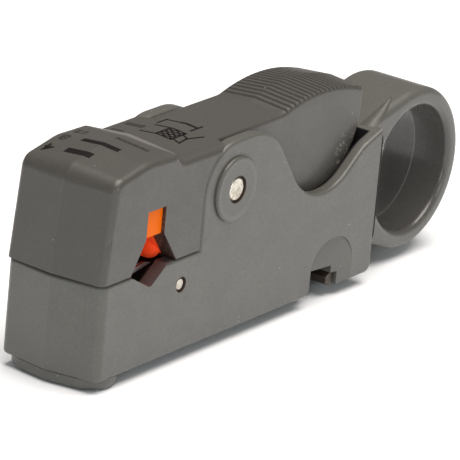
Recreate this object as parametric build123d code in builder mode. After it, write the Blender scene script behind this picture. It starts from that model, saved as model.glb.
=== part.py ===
"""Rotary stripper for coaxial cable.

A moulded body ends in a finger ring. A sprung jaw lever turns on a pin between two
cheeks, and its thumb pad, pressed down into the bay, lifts the jaw off the cable. The
cable lies across the tool in a notch, under an orange saddle. Three blades stand up
into the notch from a holder in the lower jaw, and three set screws under the nose set
how deep each one cuts.
"""
import math
import os

from build123d import *

os.makedirs("parts", exist_ok=True)

# Driving sizes in millimetres. x is measured back from the crest of the nose, z up
# from the underside of the body, and y from the middle of the tool.
length = 106.5                  # crest of the nose to the back of the finger ring
width = 19.0                    # across the side faces
split_height = 16.2             # plane where the jaw meets the body
jaw_gap = 0.2                   # between the two at that plane
nose_setback = 1.4              # how far the nose falls back from its crest to each side
corner_radius = 1.5             # upright corners of the nose
edge_radius = 0.6               # moulded edges of the body
draft = 5.0                     # slope of the lever's outside, in degrees

# Pivot, cheeks and thumb bay
pivot_x = 35.2
pivot_z = 24.7
cheek_radius = 8.2              # round front of each cheek, about the pivot
cheek_wall = 2.5
cheek_gap = 0.3                 # between a cheek and the lever
pivot_pin_radius = 2.0
boss_radius = 5.5
boss_rise = 0.6
pin_recess = 0.5                # depth of the dished ring round each pin's end
pin_recess_rim = 0.3            # its width
bay_front_radius = 11.0
bay_low_z = 13.4
bay_rise_z = 23.3
bay_low_radius = 11.0
bay_rise_radius = 8.0
bay_lip_radius = 0.8            # inner edge of the bay's walls
ring_behind = 28.5              # from the rear face of the body to the back of the ring
body_end_z = 25.1               # top of the body where the ring begins
well_floor = 6.0                # floor of the spring well
well_front_x = 28.4
well_end_wall = 1.5

# Finger ring
ring_radius = 14.1
ring_bore = 11.0                # at each mouth
ring_seam = 0.4                 # how far the middle of the bore stands in from the mouths
ring_width = 13.5
ring_z = 13.95
ring_rim_radius = 1.4
web_foot_z = 4.6                # where the ring's underside leaves the body
web_narrow_x = 80.0             # where the web is down to the ring's width
ring_mouth_radius = 1.1
flute_radius = 2.0              # of the tapering flutes where the ring leaves the body
flute_y = 6.9
flute_end_y = 4.4
flute_length = 9.2

# Lever
arm_top = 33.4                  # crest of the arm
head_top = 35.2                 # crest of the head
head_lean = 0.11                # how far the front leans back for each millimetre up
head_end_x = 19.0
pad_crest_z = 34.95             # highest point of the thumb pad
pad_radius = 38.0
pad_round_share = 0.84          # of its rise over the arm, the rest being its straight ends
pad_end_gap = 2.4               # to the rear face of the body
pad_rear_radius = 13.3
tooth_pitch = 1.2
tooth_depth = 0.5
lever_wall = 2.0
head_rim_radius = 1.2
arm_rim_radius = 0.8

# Cable notch, and the saddle over it
notch_x = 13.9
notch_depth = 3.0
notch_front = 5.5               # from its lowest point forward to the top of the jaw
notch_rear = 4.3
window_width = 4.8
window_top = 26.2
mouth_top = 21.6                # where the window opens out
mouth_front = 8.3
mouth_rear = 20.4
saddle_clearance = 0.1
saddle_inset = 0.6              # how far its tongues stay inside the side faces
saddle_front_x = 6.6
saddle_rear_x = 21.6
saddle_top = 26.9
head_wall = 2.9

# Blades and their holder
blade_thickness = 0.5
blade_play = 0.05               # on each side of a blade in its slot
cross_pin_x = 22.4
cross_pin_z = 11.5
cross_pin_radius = 1.0
edge_front_z = 12.9             # cutting edge, at its two ends
edge_rear_z = 14.6
blade_under_z = 8.6
pocket_front_x = 3.0
pocket_rear_x = 26.4
jaw_wall = 2.4
foot_height = 2.1
foot_inset = 0.3                # under the body's outline
foot_corner_radius = 4.5
foot_length = 8.0
holder_clearance = 0.15
slot_floor = 7.0

# Depth screws, their threaded inserts and the springs behind the pin
screw_radius = 2.0
screw_length = 6.0
screw_tip_gap = 0.05
screw_tip_round = 1.35
screw_well_clearance = 0.2      # round a screw beyond its insert
front_screw_x = 6.4
insert_spacing = 5.657          # between neighbouring depth screws
insert_radius = 2.5
insert_low = 1.2
insert_high = 6.2
insert_wall = 0.45              # between an outer insert and the side of its holder
blade_spring_wall = 1.45         # behind a blade spring's axis
blade_spring_radius = 0.9
blade_spring_wire = 0.3
blade_spring_gap = 0.3
blade_tail_rise = 0.7           # of the tail's underside over its spring

# Lever spring
spring_wire = 1.1
spring_turns = 6
stub_gap = 0.65                 # from the spring's stubs to the inside of its coils
stub_height = 3.0
seat_depth = 2.9                # of the spring's upper seat under the crest of the arm
spring_end_gap = 0.05
spring_side_gap = 0.55          # to the side walls of the hollow
spring_swing = 4.9              # room behind the spring as the pad comes down
running_clearance = 0.05        # round a pin that something turns on
insert_clearance = 0.05         # round a depth screw

# Hex key under the body, and the scoop that shows its end
key_size = 2.0                  # across the flats
key_behind = 10.9               # from its short leg to the rear face of the body
key_z = 1.0
key_end_gap = 2.7               # from its long leg to the blade holder's pocket
key_short = 15.0
key_tip_y = -8.5
key_bend = 3.0
groove_play = 0.15
key_window_front = 1.9          # window over the key's end, behind the scoop's front
key_window_top = 3.6
scoop_behind = 6.0              # from the scoop to the rear face of the body
scoop_length = 12.4
scoop_height = 8.9
scoop_depth = 1.5

# Sizes that follow from these
half_width = width / 2
body_end_x = length - ring_behind
bay_reach = (body_end_x - pivot_x) / 42.8   # 1 for the real tool, for what lies along the bay
bay_front_x = pivot_x + 9.8 * bay_reach     # corner where the cheek falls into the bay
bay_low_x = pivot_x + 24.1 * bay_reach
bay_rise_x = pivot_x + 37.4 * bay_reach
well_end_x = body_end_x - well_end_wall
pad_end_x = body_end_x - pad_end_gap
pad_crest_x = pivot_x + 27.2 * bay_reach
spring_x = pivot_x + 21.8 * bay_reach
scoop_rear_x = body_end_x - scoop_behind
scoop_front_x = scoop_rear_x - scoop_length
key_x = body_end_x - key_behind
body_top = split_height - jaw_gap / 2
lever_base = split_height + jaw_gap / 2
cheek_inner = half_width - cheek_wall
lever_half = cheek_inner - cheek_gap
cheek_front_x = pivot_x - cheek_radius
cheek_top = pivot_z + cheek_radius
ring_x = length - ring_radius
saddle_half = half_width - head_wall
saddle_x = (saddle_front_x + saddle_rear_x) / 2
window_front_x = notch_x - window_width / 2 + 0.15
window_rear_x = window_front_x + window_width
pad_slope = math.acos(1 - pad_round_share * (pad_crest_z - arm_top) / pad_radius)
pad_fall = math.tan(pad_slope)
pad_arc_z = pad_crest_z - pad_radius
pad_corner_z = pad_arc_z + pad_radius / math.cos(pad_slope)
pad_front_x = pad_crest_x - (pad_corner_z - arm_top) / pad_fall
pad_end_z = pad_corner_z - (pad_end_x - pad_crest_x) * pad_fall
pad_middle_x = (pad_front_x + pad_end_x) / 2
spring_top = arm_top - seat_depth - spring_end_gap
blade_tail_z = blade_under_z + blade_tail_rise
spring_radius = lever_half - lever_wall - spring_side_gap - spring_wire / 2
stub_radius = spring_radius - spring_wire / 2 - stub_gap
comb_half = half_width - jaw_wall - holder_clearance
comb_rear_x = pocket_rear_x - holder_clearance
blade_spring_x = comb_rear_x - blade_spring_wall
blade_pitch = comb_half - insert_radius - insert_wall
middle_screw_x = front_screw_x + math.sqrt(insert_spacing**2 - blade_pitch**2)
blade_spring_top = blade_tail_z - blade_spring_gap
spring_pocket_floor = slot_floor - 2.4
key_corner = key_size / math.sqrt(3)    # half the width across its corners
blade_rows = [(-blade_pitch, front_screw_x), (0, middle_screw_x), (blade_pitch, front_screw_x)]
far = 4 * width                 # a reach that clears every cut

# Everything is drawn on these planes, whose origin is the foot of the nose crest. The
# part's own origin lies on the ground under its middle.
side = Plane(origin=(-length / 2, 0, foot_height), x_dir=(1, 0, 0), z_dir=(0, -1, 0))
plan = Plane(origin=(-length / 2, 0, foot_height), x_dir=(1, 0, 0), z_dir=(0, 0, 1))


def outline(*corners):
    """A closed line through (x, z, radius) corners, each rounded to its radius."""
    points = [(x, z) for x, z, _ in corners]
    return FilletPolyline(*points, radius=[r for *_, r in corners], close=True)


def at(x, y, z):
    """A point of the part's own space from distances off the nose, middle and underside."""
    return plan.from_local_coords((x, y, z))


def across(x, z):
    """The plane y = 0 with its origin at a point of the profile, facing the near side."""
    return Plane(origin=at(x, 0, z), x_dir=(1, 0, 0), z_dir=(0, -1, 0))


def facing(face_side, x, y, z):
    """A plane at y on the near side (-1) or the far side (1), facing outward."""
    return Plane(origin=at(x, face_side * y, z), x_dir=(1, 0, 0), z_dir=(0, face_side, 0))


def on_rim(point):
    """Whether a point lies on the upper rim of the cheeks and of the bay's walls."""
    low = bay_low_z - 0.5 if point.X > at(bay_front_x, 0, 0).X else pivot_z
    return point.Z > foot_height + low and point.X < at(well_end_x, 0, 0).X - 0.01


def touch_ring(x, z, above):
    """Where the line from (x, z) meets the outside of the ring, above or below it."""
    reach = math.hypot(x - ring_x, z - ring_z)
    bearing = math.atan2(z - ring_z, x - ring_x)
    turn = math.acos(ring_radius / reach)
    angle = bearing - turn if above else bearing + turn
    return ring_x + ring_radius * math.cos(angle), ring_z + ring_radius * math.sin(angle)


def pad_surface(x):
    """Height of the thumb pad's crest line, between the teeth."""
    reach = abs(x - pad_crest_x)
    if reach < pad_radius * math.sin(pad_slope):
        return pad_arc_z + math.sqrt(pad_radius**2 - reach**2)
    return pad_corner_z - reach * pad_fall


# Finger ring, and the web that joins it to the body and narrows to the ring's width
top_touch = touch_ring(body_end_x, body_end_z, True)
foot_touch = touch_ring(body_end_x, web_foot_z, False)
ring_centre = at(ring_x, 0, ring_z)
ring_half = ring_width / 2

with BuildPart() as finger_ring:
    with BuildSketch(side):
        with BuildLine():
            Line((body_end_x, body_end_z), (body_end_x, web_foot_z))
            Line((body_end_x, web_foot_z), foot_touch)
            ThreePointArc(foot_touch, (length, ring_z), top_touch)
            Line(top_touch, (body_end_x, body_end_z))
        make_face()
    extrude(amount=half_width, both=True)
    with BuildSketch(plan.offset(-foot_height)):
        with BuildLine():
            outline(
                (body_end_x, -half_width, 0),
                (web_narrow_x, -ring_half, 0.6),
                (length + 1, -ring_half, 0),
                (length + 1, ring_half, 0),
                (web_narrow_x, ring_half, 0.6),
                (body_end_x, half_width, 0),
            )
        make_face()
    extrude(amount=far, mode=Mode.INTERSECT)
    across_lines = edges().filter_by(Axis.Y) + edges().filter_by(Axis.Z)
    body_end = at(body_end_x + 0.05, 0, 0).X
    rims = edges().filter_by(lambda e: e not in across_lines and e.center().X > body_end)
    fillet(rims, ring_rim_radius)

    # Bore, drafted from both mouths to a seam at the middle
    with BuildSketch(Plane(origin=ring_centre)):
        with BuildLine():
            Polyline(
                (0, -ring_half),
                (ring_bore, -ring_half),
                (ring_bore - ring_seam, 0),
                (ring_bore, ring_half),
                (0, ring_half),
                close=True,
            )
        make_face()
    revolve(axis=Axis(ring_centre, (0, 1, 0)), mode=Mode.SUBTRACT)
    mouths = edges().filter_by(GeomType.CIRCLE).filter_by(
        lambda e: abs(e.radius - ring_bore) < 0.01
    )
    fillet(mouths, ring_mouth_radius)

with BuildPart() as main_housing:
    # Lower jaw, cheeks and the side walls of the thumb bay
    with BuildSketch(side):
        with BuildLine():
            outline(
                (0, 0, 0),
                (0, body_top, 0),
                (cheek_front_x, body_top, 0),
                (cheek_front_x, cheek_top, cheek_radius),
                (bay_front_x, cheek_top, bay_front_radius * bay_reach),
                (bay_low_x, bay_low_z, bay_low_radius * bay_reach),
                (bay_rise_x, bay_rise_z, bay_rise_radius * bay_reach),
                (body_end_x, body_end_z, 0),
                (body_end_x, 0, corner_radius),
            )
        make_face()
    extrude(amount=half_width, both=True)
    with BuildSketch(plan.offset(-1)):
        with BuildLine():
            outline(
                (0, 0, 0),
                (nose_setback, -half_width, corner_radius),
                (body_end_x, -half_width, 0),
                (body_end_x, half_width, 0),
                (nose_setback, half_width, corner_radius),
            )
        make_face()
    extrude(amount=far, mode=Mode.INTERSECT)
    rims = faces().filter_by(Axis.Y).edges().filter_by(lambda e: e.center().Z > foot_height + 1)
    fillet(rims, edge_radius)

    # Slot between the cheeks, and the spring well below it
    with BuildSketch(side):
        with BuildLine():
            outline(
                (cheek_front_x - 1, far, 0),
                (cheek_front_x - 1, body_top, 0),
                (well_front_x, body_top, 0),
                (well_front_x, 13, 2),
                (40, well_floor, 4),
                (well_end_x, well_floor, 2),
                (well_end_x, far, 0),
            )
        make_face()
    extrude(amount=cheek_inner, both=True, mode=Mode.SUBTRACT)
    walls = faces().filter_by(Axis.Y).filter_by(
        lambda f: abs(abs(f.center().Y) - cheek_inner) < 0.01
    )
    lips = walls.edges().filter_by(lambda e: on_rim(e.center()))
    fillet(lips, bay_lip_radius)
    add(finger_ring.part)

    # Bosses round the pivot pin
    for face_side in (-1, 1):
        with BuildSketch(facing(face_side, pivot_x, half_width - 1, pivot_z)):
            Circle(boss_radius)
        extrude(amount=1 + boss_rise)
        boss_edge = edges().filter_by(GeomType.CIRCLE).sort_by(Axis.Y)[0 if face_side < 0 else -1]
        fillet(boss_edge, boss_rise * 0.8)

    # Seat that keeps the lever spring in place on the floor of its well
    with BuildSketch(plan.offset(well_floor - 1)):
        with Locations((spring_x, 0)):
            Circle(stub_radius)
    extrude(amount=1 + stub_height)

    # Pocket for the blade holder, open above and below
    pocket_length = pocket_rear_x - pocket_front_x
    with BuildSketch(plan.offset(-1)):
        with Locations(((pocket_front_x + pocket_rear_x) / 2, 0)):
            Rectangle(pocket_length, width - 2 * jaw_wall)
    extrude(amount=split_height + 2, mode=Mode.SUBTRACT)

    # Notch that the cable lies in
    with BuildSketch(side):
        with BuildLine():
            outline(
                (notch_x - notch_front, body_top + 0.01, 0),
                (notch_x, body_top - notch_depth, 1),
                (notch_x + notch_rear, body_top + 0.01, 0),
            )
        make_face()
    extrude(amount=far, both=True, mode=Mode.SUBTRACT)

    # Pin holes, each with a shallow recess at its ends
    for x, z, radius, out in (
        (pivot_x, pivot_z, pivot_pin_radius, boss_rise),
        (cross_pin_x, cross_pin_z, cross_pin_radius, 0),
    ):
        with BuildSketch(across(x, z)):
            Circle(radius)
        extrude(amount=far, both=True, mode=Mode.SUBTRACT)
        for face_side in (-1, 1):
            with BuildSketch(facing(face_side, x, half_width + out - pin_recess, z)):
                Circle(radius + pin_recess_rim)
            extrude(amount=far, mode=Mode.SUBTRACT)

    # Tapering flutes in the top of the web, between its rims and the ring
    web_slope = (top_touch[1] - body_end_z) / (top_touch[0] - body_end_x)
    for face_side in (-1, 1):
        flute_start = at(body_end_x - 0.4, face_side * flute_y, body_end_z + 0.3)
        flute_end = at(
            body_end_x + flute_length,
            face_side * flute_end_y,
            body_end_z + flute_length * web_slope + 0.1,
        )
        flute_axis = flute_end - flute_start
        with BuildSketch(Plane(origin=flute_start, z_dir=flute_axis)):
            Circle(flute_radius)
        with BuildSketch(Plane(origin=flute_end, z_dir=flute_axis)):
            Circle(flute_radius / 10)
        loft(mode=Mode.SUBTRACT)

    # Scoop at the end of the hex key: a ramp, deepest towards the nose
    with BuildSketch(plan.offset(-1)):
        with BuildLine():
            Polyline(
                (scoop_front_x, -half_width - 1),
                (scoop_front_x, -half_width + scoop_depth),
                (scoop_rear_x, -half_width),
                (scoop_rear_x, -half_width - 1),
                close=True,
            )
        make_face()
    scoop = extrude(amount=scoop_height + 1, mode=Mode.PRIVATE)
    with BuildSketch(side):
        with BuildLine():
            outline(
                (scoop_front_x, -1, 0),
                (scoop_front_x, scoop_height, scoop_length / 2 - 0.6),
                (scoop_rear_x, scoop_height, scoop_length / 2 - 0.6),
                (scoop_rear_x, -1, 0),
            )
        make_face()
    scoop_arch = extrude(amount=far, mode=Mode.PRIVATE)
    add(scoop & scoop_arch, mode=Mode.SUBTRACT)

    # Groove for the hex key, and the window in the scoop that its end comes out of
    groove = 2 * (key_corner + groove_play)
    key_run_y = key_tip_y + key_short - key_size / 2
    key_front_x = pocket_rear_x + key_end_gap
    with BuildSketch(plan.offset(-1)):
        with BuildLine():
            FilletPolyline(
                (key_x, key_tip_y - 1),
                (key_x, key_run_y),
                (key_front_x - groove_play, key_run_y),
                radius=key_bend,
            )
        trace(line_width=groove)
    extrude(amount=1 + key_z + groove / 2, mode=Mode.SUBTRACT)
    window_start_x = scoop_front_x + key_window_front
    with BuildSketch(plan.offset(-1)):
        with Locations(((window_start_x + key_x) / 2, -half_width + 2)):
            Rectangle(key_x - window_start_x - 0.6, 4.6)
    extrude(amount=1 + key_window_top, mode=Mode.SUBTRACT)

main_housing.part.label = "main_housing"
export_step(main_housing.part, "parts/main_housing.step")

# Jaw lever: head, arm and thumb pad in one moulding
with BuildPart() as jaw_lever:
    lever_low = lever_base - 2
    with BuildSketch(side):
        with BuildLine():
            outline(
                (head_lean * (lever_low - lever_base), lever_low, 0),
                (head_lean * (head_top - 1.6 - lever_base), head_top - 1.6, 3.2),
                (11, head_top + 0.1, 12),
                (head_end_x, head_top - 0.1, 1.9),
                (head_end_x + 1.4, arm_top + 0.1, 1.5),
                (pad_front_x, arm_top, 6),
                (pad_crest_x, pad_corner_z, pad_radius),
                (pad_end_x, pad_end_z, 1.6),
                (pad_end_x, split_height, pad_rear_radius),
                (pad_end_x - pad_rear_radius - 2, split_height, 0),
                (pad_end_x - pad_rear_radius - 3, lever_low, 0),
            )
        make_face()
    extrude(amount=half_width, both=True, taper=draft)
    with BuildSketch(plan.offset(lever_base)):
        with Locations((length / 2, 0)):
            Rectangle(2 * length, far)
    extrude(amount=-far, mode=Mode.SUBTRACT)
    rims = faces().filter_by(Axis.Y).edges()
    fillet(rims.filter_by(lambda e: e.center().Z > foot_height + lever_base + 1), head_rim_radius)

    # Behind the head the lever is narrow enough to pass between the cheeks
    flank_radius = cheek_radius + cheek_gap
    for face_side in (-1, 1):
        with BuildSketch(facing(-1, 0, -face_side * lever_half, 0)):
            with BuildLine():
                outline(
                    (pivot_x - flank_radius, 0, 0),
                    (pivot_x - flank_radius, pivot_z + flank_radius, flank_radius),
                    (pivot_x + 1, pivot_z + flank_radius, 0),
                    (pivot_x + 1, far, 0),
                    (length, far, 0),
                    (length, 0, 0),
                )
            make_face()
        extrude(amount=-face_side * far, mode=Mode.SUBTRACT)
    flanks = faces().filter_by(Axis.Y).filter_by(
        lambda f: abs(abs(f.center().Y) - lever_half) < 0.01
    )
    arm_rims = flanks.edges().filter_by(
        lambda e: e.center().Z > foot_height + pivot_z + 2 and e.center().X > pivot_x - length / 2
    )
    fillet(arm_rims, arm_rim_radius)

    # Hollow under the arm and pad, where the spring stands
    hollow_front_x = spring_x - 14
    hollow_mouth_x = pad_end_x - pad_rear_radius - 0.5
    hollow_radius = pad_rear_radius - lever_wall - 0.6
    swing_x = spring_x + spring_radius + spring_wire / 2 + spring_swing
    with BuildSketch(side):
        with BuildLine():
            outline(
                (hollow_front_x, 0, 0),
                (hollow_front_x, arm_top - 3, 3),
                (pad_middle_x, arm_top - 1, 10),
                (pad_end_x - lever_wall, pad_end_z - lever_wall, 1.2),
                (pad_end_x - lever_wall, split_height + lever_wall, hollow_radius),
                (hollow_mouth_x, split_height + lever_wall, 0),
                (hollow_mouth_x, 0, 0),
            )
        make_face()
        with BuildLine():
            Polyline(
                (hollow_front_x, 0),
                (hollow_front_x, split_height + 2 * lever_wall),
                (swing_x, split_height + 2 * lever_wall),
                (swing_x, 0),
                close=True,
            )
        make_face()
    extrude(amount=lever_half - lever_wall, both=True, mode=Mode.SUBTRACT)

    # Upper seat of the spring, with a stub inside its coils
    with BuildSketch(plan.offset(arm_top)):
        with Locations((spring_x, 0)):
            Circle(spring_radius + spring_wire / 2 + 0.2)
    extrude(amount=-seat_depth)
    with BuildSketch(plan.offset(arm_top)):
        with Locations((spring_x, 0)):
            Circle(stub_radius)
    extrude(amount=-seat_depth - stub_height)

    # Grip teeth across the pad, falling from the crest to each side
    teeth = round((pad_end_x - pad_front_x - 2.4) / tooth_pitch)
    fall = math.tan(math.radians(draft))
    for face_side in (-1, 1):
        with BuildSketch(side):
            for tooth in range(teeth + 1):
                x = pad_middle_x + (tooth - teeth / 2) * tooth_pitch
                with Locations((x, pad_surface(x))):
                    Polygon(
                        (0, -tooth_depth),
                        (tooth_pitch * 0.5, tooth_depth),
                        (-tooth_pitch * 0.5, tooth_depth),
                        align=None,
                    )
        extrude(amount=far, dir=(0, face_side, -fall), mode=Mode.SUBTRACT)

    # Hole for the pivot pin
    with BuildSketch(across(pivot_x, pivot_z)):
        Circle(pivot_pin_radius + running_clearance)
    extrude(amount=far, both=True, mode=Mode.SUBTRACT)

    # Pocket for the cable saddle, and the windows through both sides of the head
    with BuildSketch(plan.offset(lever_base - 1)):
        with Locations((saddle_x, 0)):
            Rectangle(
                saddle_rear_x - saddle_front_x + 2 * saddle_clearance,
                2 * (saddle_half + saddle_clearance),
            )
    extrude(amount=saddle_top + saddle_clearance - lever_base + 1, mode=Mode.SUBTRACT)
    with BuildSketch(side):
        with BuildLine():
            outline(
                (mouth_front - 0.3, lever_base - 0.4, 0),
                (window_front_x, mouth_top, 1),
                (window_front_x, window_top, 0),
                (window_rear_x, window_top, 0),
                (window_rear_x, mouth_top, 1),
                (mouth_rear + 0.3, lever_base - 0.4, 0),
            )
        make_face()
    extrude(amount=far, both=True, mode=Mode.SUBTRACT)

jaw_lever.part.label = "jaw_lever"
export_step(jaw_lever.part, "parts/jaw_lever.step")

with BuildPart() as cable_saddle:
    # Block in the head's pocket, hollowed to the same shape as the mouth
    with BuildSketch(plan.offset(lever_base + 0.3)):
        with Locations((saddle_x, 0)):
            RectangleRounded(saddle_rear_x - saddle_front_x, 2 * saddle_half, 0.6)
    extrude(amount=saddle_top - lever_base - 0.3)
    with BuildSketch(side):
        with BuildLine():
            outline(
                (mouth_front - 0.3, lever_base - 0.4, 0),
                (window_front_x, mouth_top, 1),
                (notch_x - 1.2, mouth_top, 0),
                (notch_x, mouth_top + 0.9, 0.3),
                (notch_x + 1.2, mouth_top, 0),
                (window_rear_x, mouth_top, 1),
                (mouth_rear + 0.3, lever_base - 0.4, 0),
            )
        make_face()
    extrude(amount=far, both=True, mode=Mode.SUBTRACT)

    # Tongues that fill the windows
    tongue_height = window_top - saddle_clearance - mouth_top
    tongue_z = mouth_top + tongue_height / 2
    for face_side in (-1, 1):
        tongue_x = window_front_x + window_width / 2
        with BuildSketch(facing(face_side, tongue_x, saddle_half - 1, tongue_z)):
            Rectangle(window_width - 2 * saddle_clearance, tongue_height)
        extrude(amount=1 + half_width - saddle_half - saddle_inset)

cable_saddle.part.label = "cable_saddle"
export_step(cable_saddle.part, "parts/cable_saddle.step")

with BuildPart() as pivot_pin:
    with BuildSketch(across(pivot_x, pivot_z)):
        Circle(pivot_pin_radius)
    extrude(amount=half_width + boss_rise - 0.2, both=True)
    chamfer(edges().filter_by(GeomType.CIRCLE), 0.25)

pivot_pin.part.label = "pivot_pin"
export_step(pivot_pin.part, "parts/pivot_pin.step")

with BuildPart() as cross_pin:
    with BuildSketch(across(cross_pin_x, cross_pin_z)):
        Circle(cross_pin_radius)
    extrude(amount=half_width - 0.25, both=True)
    chamfer(edges().filter_by(GeomType.CIRCLE), 0.15)

cross_pin.part.label = "cross_pin"
export_step(cross_pin.part, "parts/cross_pin.step")

with BuildPart() as blade_holder:
    # Comb that keeps the blades apart on the cross pin
    comb_front_x = pocket_front_x + holder_clearance
    comb_top = cross_pin_z + 2.3
    with BuildSketch(side):
        with BuildLine():
            outline(
                (comb_front_x, 0, 0),
                (comb_front_x, slot_floor + 3.6, 1),
                (cross_pin_x - 5, slot_floor + 4.4, 2),
                (cross_pin_x - 2.4, comb_top, 1),
                (comb_rear_x, comb_top, 1),
                (comb_rear_x, 0, 0),
            )
        make_face()
    extrude(amount=comb_half, both=True)

    # Foot under the nose, a little inside its outline
    foot_side = half_width - foot_inset
    with BuildSketch(plan.offset(-foot_height)):
        with BuildLine():
            outline(
                (foot_inset, 0, 8),
                (foot_inset + nose_setback, -foot_side, foot_corner_radius),
                (foot_length, -foot_side, corner_radius),
                (foot_length, foot_side, corner_radius),
                (foot_inset + nose_setback, foot_side, foot_corner_radius),
            )
        make_face()
    extrude(amount=foot_height)
    fillet(edges().group_by(Axis.Z)[0], foot_height * 0.6)

    # Slots for the blades, wells for the inserts and screws, and pockets for the springs
    slot_width = blade_thickness + 2 * blade_play
    for y, screw_x in blade_rows:
        with BuildSketch(plan.offset(slot_floor)):
            with Locations((length / 2, y)):
                Rectangle(2 * length, slot_width)
        extrude(amount=far, mode=Mode.SUBTRACT)
        with BuildSketch(plan.offset(-foot_height - 1)):
            with Locations((screw_x, y)):
                Circle(screw_radius + screw_well_clearance)
        extrude(amount=far, mode=Mode.SUBTRACT)
        with BuildSketch(plan.offset(insert_low)):
            with Locations((screw_x, y)):
                Circle(insert_radius)
        extrude(amount=insert_high - insert_low, mode=Mode.SUBTRACT)
        with BuildSketch(plan.offset(spring_pocket_floor)):
            with Locations((blade_spring_x, y)):
                Circle(blade_spring_radius + blade_spring_wire / 2 + 0.1)
        extrude(amount=far, mode=Mode.SUBTRACT)
    with BuildSketch(across(cross_pin_x, cross_pin_z)):
        Circle(cross_pin_radius)
    extrude(amount=far, both=True, mode=Mode.SUBTRACT)

blade_holder.part.label = "blade_holder"
export_step(blade_holder.part, "parts/blade_holder.step")

# Blades, depth screws, inserts and blade springs, one set in each row of the holder
eye_radius = 2.1
blade_front_x = 5.0
blade_rear_x = blade_spring_x + 1.0
for row, (y, screw_x) in enumerate(blade_rows, start=1):
    with BuildPart() as blade:
        with BuildSketch(across(0, 0).offset(-y)):
            with BuildLine():
                outline(
                    (blade_front_x, blade_under_z, 0.8),
                    (blade_front_x, edge_front_z - 0.9, 0.8),
                    (8.4, edge_front_z, 0),
                    (cross_pin_x - 3, edge_rear_z, 0.8),
                    (cross_pin_x + 0.6, cross_pin_z + eye_radius, 1),
                    (blade_rear_x, cross_pin_z + 0.6, 0.6),
                    (blade_rear_x, blade_tail_z, 0.4),
                    (blade_spring_x - 1.2, blade_tail_z, 0.4),
                    (blade_spring_x - 2.2, blade_under_z, 0.5),
                )
            make_face()
        extrude(amount=blade_thickness / 2, both=True)
        with BuildSketch(across(cross_pin_x, cross_pin_z)):
            Circle(cross_pin_radius + running_clearance)
        extrude(amount=far, both=True, mode=Mode.SUBTRACT)
    blade.part.label = f"blade_{row}"
    export_step(blade.part, f"parts/blade_{row}.step")

    screw_high = blade_under_z - screw_tip_gap
    with BuildPart() as depth_screw:
        with BuildSketch(plan.offset(screw_high - screw_length)):
            with Locations((screw_x, y)):
                Circle(screw_radius - insert_clearance)
        extrude(amount=screw_length)
        chamfer(edges().group_by(Axis.Z)[0], 0.4)
        fillet(edges().group_by(Axis.Z)[-1], screw_tip_round)
        with BuildSketch(plan.offset(screw_high - screw_length)):
            with Locations((screw_x, y)):
                RegularPolygon(key_size / 2 + 0.05, 6, major_radius=False)
        extrude(amount=2.4, mode=Mode.SUBTRACT)
    depth_screw.part.label = f"depth_screw_{row}"
    export_step(depth_screw.part, f"parts/depth_screw_{row}.step")

    with BuildPart() as screw_insert:
        with BuildSketch(plan.offset(insert_low)):
            with Locations((screw_x, y)):
                Circle(insert_radius)
                Circle(screw_radius, mode=Mode.SUBTRACT)
        extrude(amount=insert_high - insert_low)
    screw_insert.part.label = f"screw_insert_{row}"
    export_step(screw_insert.part, f"parts/screw_insert_{row}.step")

    with BuildPart() as blade_spring:
        coil_height = blade_spring_top - spring_pocket_floor - blade_spring_wire
        coil_base = at(blade_spring_x, y, spring_pocket_floor + blade_spring_wire / 2)
        with BuildLine():
            coil = Helix(coil_height / 4, coil_height, blade_spring_radius, center=coil_base)
        with BuildSketch(Plane(origin=coil @ 0, z_dir=coil % 0)):
            RegularPolygon(blade_spring_wire / 2, 6)
        sweep(path=coil, is_frenet=True)
    blade_spring.part.label = f"blade_spring_{row}"
    export_step(blade_spring.part, f"parts/blade_spring_{row}.step")

with BuildPart() as lever_spring:
    lever_coil_height = spring_top - well_floor - spring_wire
    with BuildLine():
        lever_coil = Helix(
            lever_coil_height / spring_turns,
            lever_coil_height,
            spring_radius,
            center=at(spring_x, 0, well_floor + spring_wire / 2),
        )
    with BuildSketch(Plane(origin=lever_coil @ 0, z_dir=lever_coil % 0)):
        RegularPolygon(spring_wire / 2, 8)
    sweep(path=lever_coil, is_frenet=True)

lever_spring.part.label = "lever_spring"
export_step(lever_spring.part, "parts/lever_spring.step")

# Hex key: the short leg lies across the body, its end in the scoop
with BuildPart() as hex_key:
    with BuildLine():
        key_path = FilletPolyline(
            at(key_x, key_tip_y, key_z),
            at(key_x, key_run_y, key_z),
            at(key_front_x, key_run_y, key_z),
            radius=key_bend,
        )
    with BuildSketch(Plane(origin=key_path @ 0, z_dir=key_path % 0, x_dir=(0, 0, 1))):
        RegularPolygon(key_size / 2, 6, major_radius=False)
    sweep(path=key_path)

hex_key.part.label = "hex_key"
export_step(hex_key.part, "parts/hex_key.step")
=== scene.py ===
"""Looks of the coaxial cable stripper: finishes, printed scale, springs, floor, light and camera.

Finishes, marks and the saddle's lip are in millimetres on the part's own axes, as in its source:
x back from the crest of the nose, y from the middle of the tool, z up from the underside of the
body. Spring wire, lamps, floor and camera are in metres of the frame.
"""
import math

import bmesh
import bpy
from bpy.props import FloatProperty, FloatVectorProperty, IntProperty, PointerProperty
from mathutils import Matrix, Vector
from mathutils.bvhtree import BVHTree


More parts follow.
